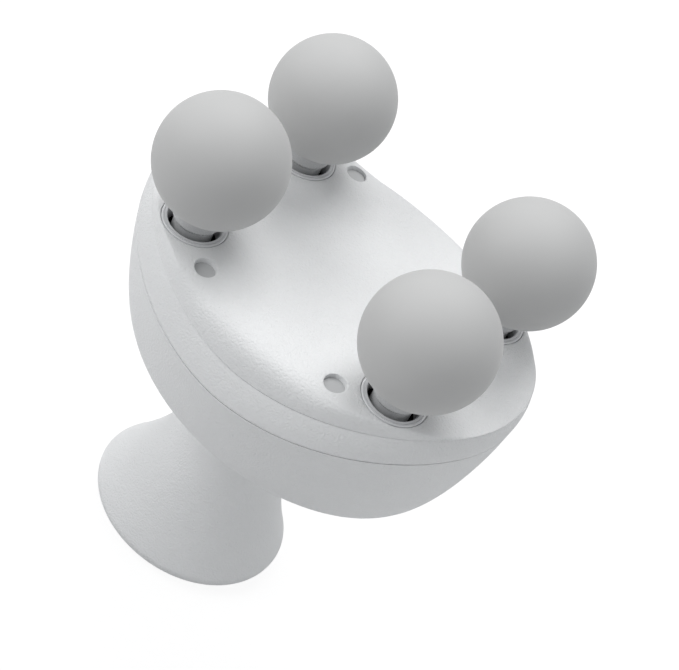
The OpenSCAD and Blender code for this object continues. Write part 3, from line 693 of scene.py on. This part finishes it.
for number, (x, y) in enumerate(head_places, 1):
    fork = bmesh.new()
    bmesh.ops.create_cube(fork, size=1)
    bmesh.ops.scale(fork, vec=(fork_length, fork_gap, fork_top - fork_low), verts=fork.verts)
    bmesh.ops.translate(fork, vec=(x, y, (fork_top + fork_low) / 2), verts=fork.verts)
    pin_bore = cross_bore(pin_bore_r, pin_bore_depth, (x, y, pin_z), segments=32)
    stem_mesh = cut_away(lathe(stem_profile, (x, y, 0)), [fork, pin_bore])
    piece(f"stem_turned_{number}", stem_mesh, f"head_{number}", stem_plastic,
        f"stem_{number}")

# Each massage ball is a thick silicone skin, moulded over a hard core and matte to the
# touch. Its underside is flat where it sits on the rim of the stem.
ball_silicone = finish("ball_silicone", colour=(0.49, 0.49, 0.487), patches=(0.505, 0.505, 0.502),
    patch_size=12 * mm, grain_size=0.35 * mm, grain_depth=0.006 * mm, rough=(0.62, 0.74),
    Sheen_Weight=0.12, Sheen_Roughness=0.4)
ball_low, ball_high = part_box("massage_ball_1")
ball_r = (ball_high.x - ball_low.x) / 2
ball_z = ball_high.z - ball_r
inner_r = ball_r - 2.95 * mm
stud_hole_r = stud_r + 0.1 * mm
flat_z = seat - ball_z
flat_r = 5.0 * mm
flat_edge = (5.6 * mm, flat_z + 0.04 * mm)
flat_edge_turn = 2.5
flat_angle = math.degrees(math.asin(flat_z / ball_r)) + flat_edge_turn
inner_angle = math.degrees(math.acos(stud_hole_r / inner_r))
ball_profile = (
    [(stud_hole_r, flat_z), (flat_r, flat_z), flat_edge]
    + arc((0, 0), ball_r, flat_angle, 90, steps=88)
    + arc((0, 0), inner_r, 90, -inner_angle, steps=40)
    + [(stud_hole_r, flat_z)])
for number, (x, y) in enumerate(head_places, 1):
    ball_mesh = lathe(ball_profile, (x, y, ball_z), steps=160)
    piece(f"silicone_ball_{number}", ball_mesh, f"head_{number}", ball_silicone,
        f"massage_ball_{number}", crease=40)


# The screw plugs are grey discs, pressed into the recesses of the front cover over the
# heads of its screws. They and all that follows keep the shape they were built with.
def dress(material, *names):
    """Gives CAD nodes their finish."""
    for name in names:
        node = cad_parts[name]
        node.data.materials.clear()
        node.data.materials.append(material)


plug_plastic = finish("plug_plastic", colour=(0.48, 0.485, 0.49), patches=(0.52, 0.525, 0.53),
    patch_size=6 * mm, grain_size=0.4 * mm, grain_depth=0.02 * mm, rough=(0.5, 0.65))
dress(plug_plastic, "screw_plugs")

# The screws are plated steel. They hold the front cover, the motor clamp, the handle and
# the parts on the posts of the end cap.
screw_steel = finish("screw_steel", colour=(0.6, 0.6, 0.62), patches=(0.66, 0.66, 0.68),
    patch_size=2 * mm, grain_size=0.15 * mm, grain_depth=0.003 * mm, rough=(0.25, 0.4), metal=1.0)
dress(screw_steel, "cover_screws", "clamp_screws", "handle_screws", "cap_screws")

# The pins and the motor's shaft are ground steel. The pivot pin lies in the brackets of
# the chassis, the rod pin in the rocker, and a link pin in the fork of each stem.
numbered = (1, 2, 3, 4)
ground_steel = finish("ground_steel", colour=(0.62, 0.62, 0.64), patches=(0.7, 0.7, 0.72),
    patch_size=2 * mm, grain_size=0.2 * mm, grain_depth=0.002 * mm, rough=(0.15, 0.25), metal=1.0,
    stretch=(1, 8, 1))
dress(ground_steel, "pivot_pin", "rod_pin", "motor_shaft", *[f"link_pin_{n}" for n in numbered])

# The chassis, the motor clamp, the battery holder and the cores of the balls are moulded in
# dark nylon with glass fibre. The cover screws pass through the chassis and hold it.
glass_filled_nylon = finish("glass_filled_nylon", colour=(0.035, 0.037, 0.04),
    patches=(0.05, 0.052, 0.056), patch_size=5 * mm, grain_size=0.3 * mm, grain_depth=0.02 * mm,
    rough=(0.45, 0.6))
dress(glass_filled_nylon, "chassis_plate", "motor_clamp", "battery_holder",
    *[f"ball_core_{n}" for n in numbered])

# The stems slide in flanged bushes of smooth black plastic, which are pressed into the
# chassis.
bush_plastic = finish("bush_plastic", colour=(0.02, 0.02, 0.022), patches=(0.03, 0.03, 0.032),
    patch_size=3 * mm, grain_size=0.3 * mm, grain_depth=0.005 * mm, rough=(0.3, 0.45))
dress(bush_plastic, *[f"guide_bush_{n}" for n in numbered])

# The rocker is cast in light alloy and tilts on the pivot pin. A rod of milky acetal joins
# it to the crank, a turned brass disc on the motor's shaft.
cast_alloy = finish("cast_alloy", colour=(0.5, 0.5, 0.51), patches=(0.6, 0.6, 0.61),
    patch_size=4 * mm, grain_size=0.5 * mm, grain_depth=0.03 * mm, rough=(0.4, 0.55), metal=1.0)
dress(cast_alloy, "rocker_beam")
acetal = finish("acetal", colour=(0.72, 0.7, 0.62), patches=(0.76, 0.74, 0.67),
    patch_size=4 * mm, grain_size=0.3 * mm, grain_depth=0.004 * mm, rough=(0.3, 0.4))
dress(acetal, "connecting_rod")
turned_brass = finish("turned_brass", colour=(0.62, 0.43, 0.16), patches=(0.7, 0.5, 0.2),
    patch_size=3 * mm, grain_size=0.2 * mm, grain_depth=0.003 * mm, rough=(0.2, 0.3), metal=1.0)
dress(turned_brass, "crank_disc")

# The motor has a can of drawn steel, with the marks of the die along it. Its clamp holds
# it under the chassis.
drawn_steel = finish("drawn_steel", colour=(0.5, 0.5, 0.52), patches=(0.58, 0.58, 0.6),
    patch_size=3 * mm, grain_size=0.2 * mm, grain_depth=0.002 * mm, rough=(0.22, 0.34), metal=1.0,
    stretch=(1, 0.1, 1))
dress(drawn_steel, "drive_motor")

# The circuit boards are coated green. The control board hangs under the chassis, and the
# switch board lies over the power button, on the posts of the end cap.
board_green = finish("board_green", colour=(0.01, 0.09, 0.03), patches=(0.02, 0.14, 0.05),
    patch_size=1.5 * mm, grain_size=0.6 * mm, grain_depth=0.01 * mm, rough=(0.25, 0.4))
dress(board_green, "control_board", "switch_board")

# The charging socket is a black barrel socket behind the hole in the back shell, and the
# battery is one cell in blue shrink film, upright in its holder in the handle.
socket_black = finish("socket_black", colour=(0.012, 0.012, 0.013), patches=(0.02, 0.02, 0.022),
    patch_size=3 * mm, grain_size=0.3 * mm, grain_depth=0.006 * mm, rough=(0.3, 0.42))
dress(socket_black, "charging_socket")
cell_wrap = finish("cell_wrap", colour=(0.02, 0.1, 0.32), patches=(0.025, 0.12, 0.36),
    patch_size=12 * mm, grain_size=1.2 * mm, grain_depth=0.01 * mm, rough=(0.18, 0.3))
dress(cell_wrap, "battery_cell")
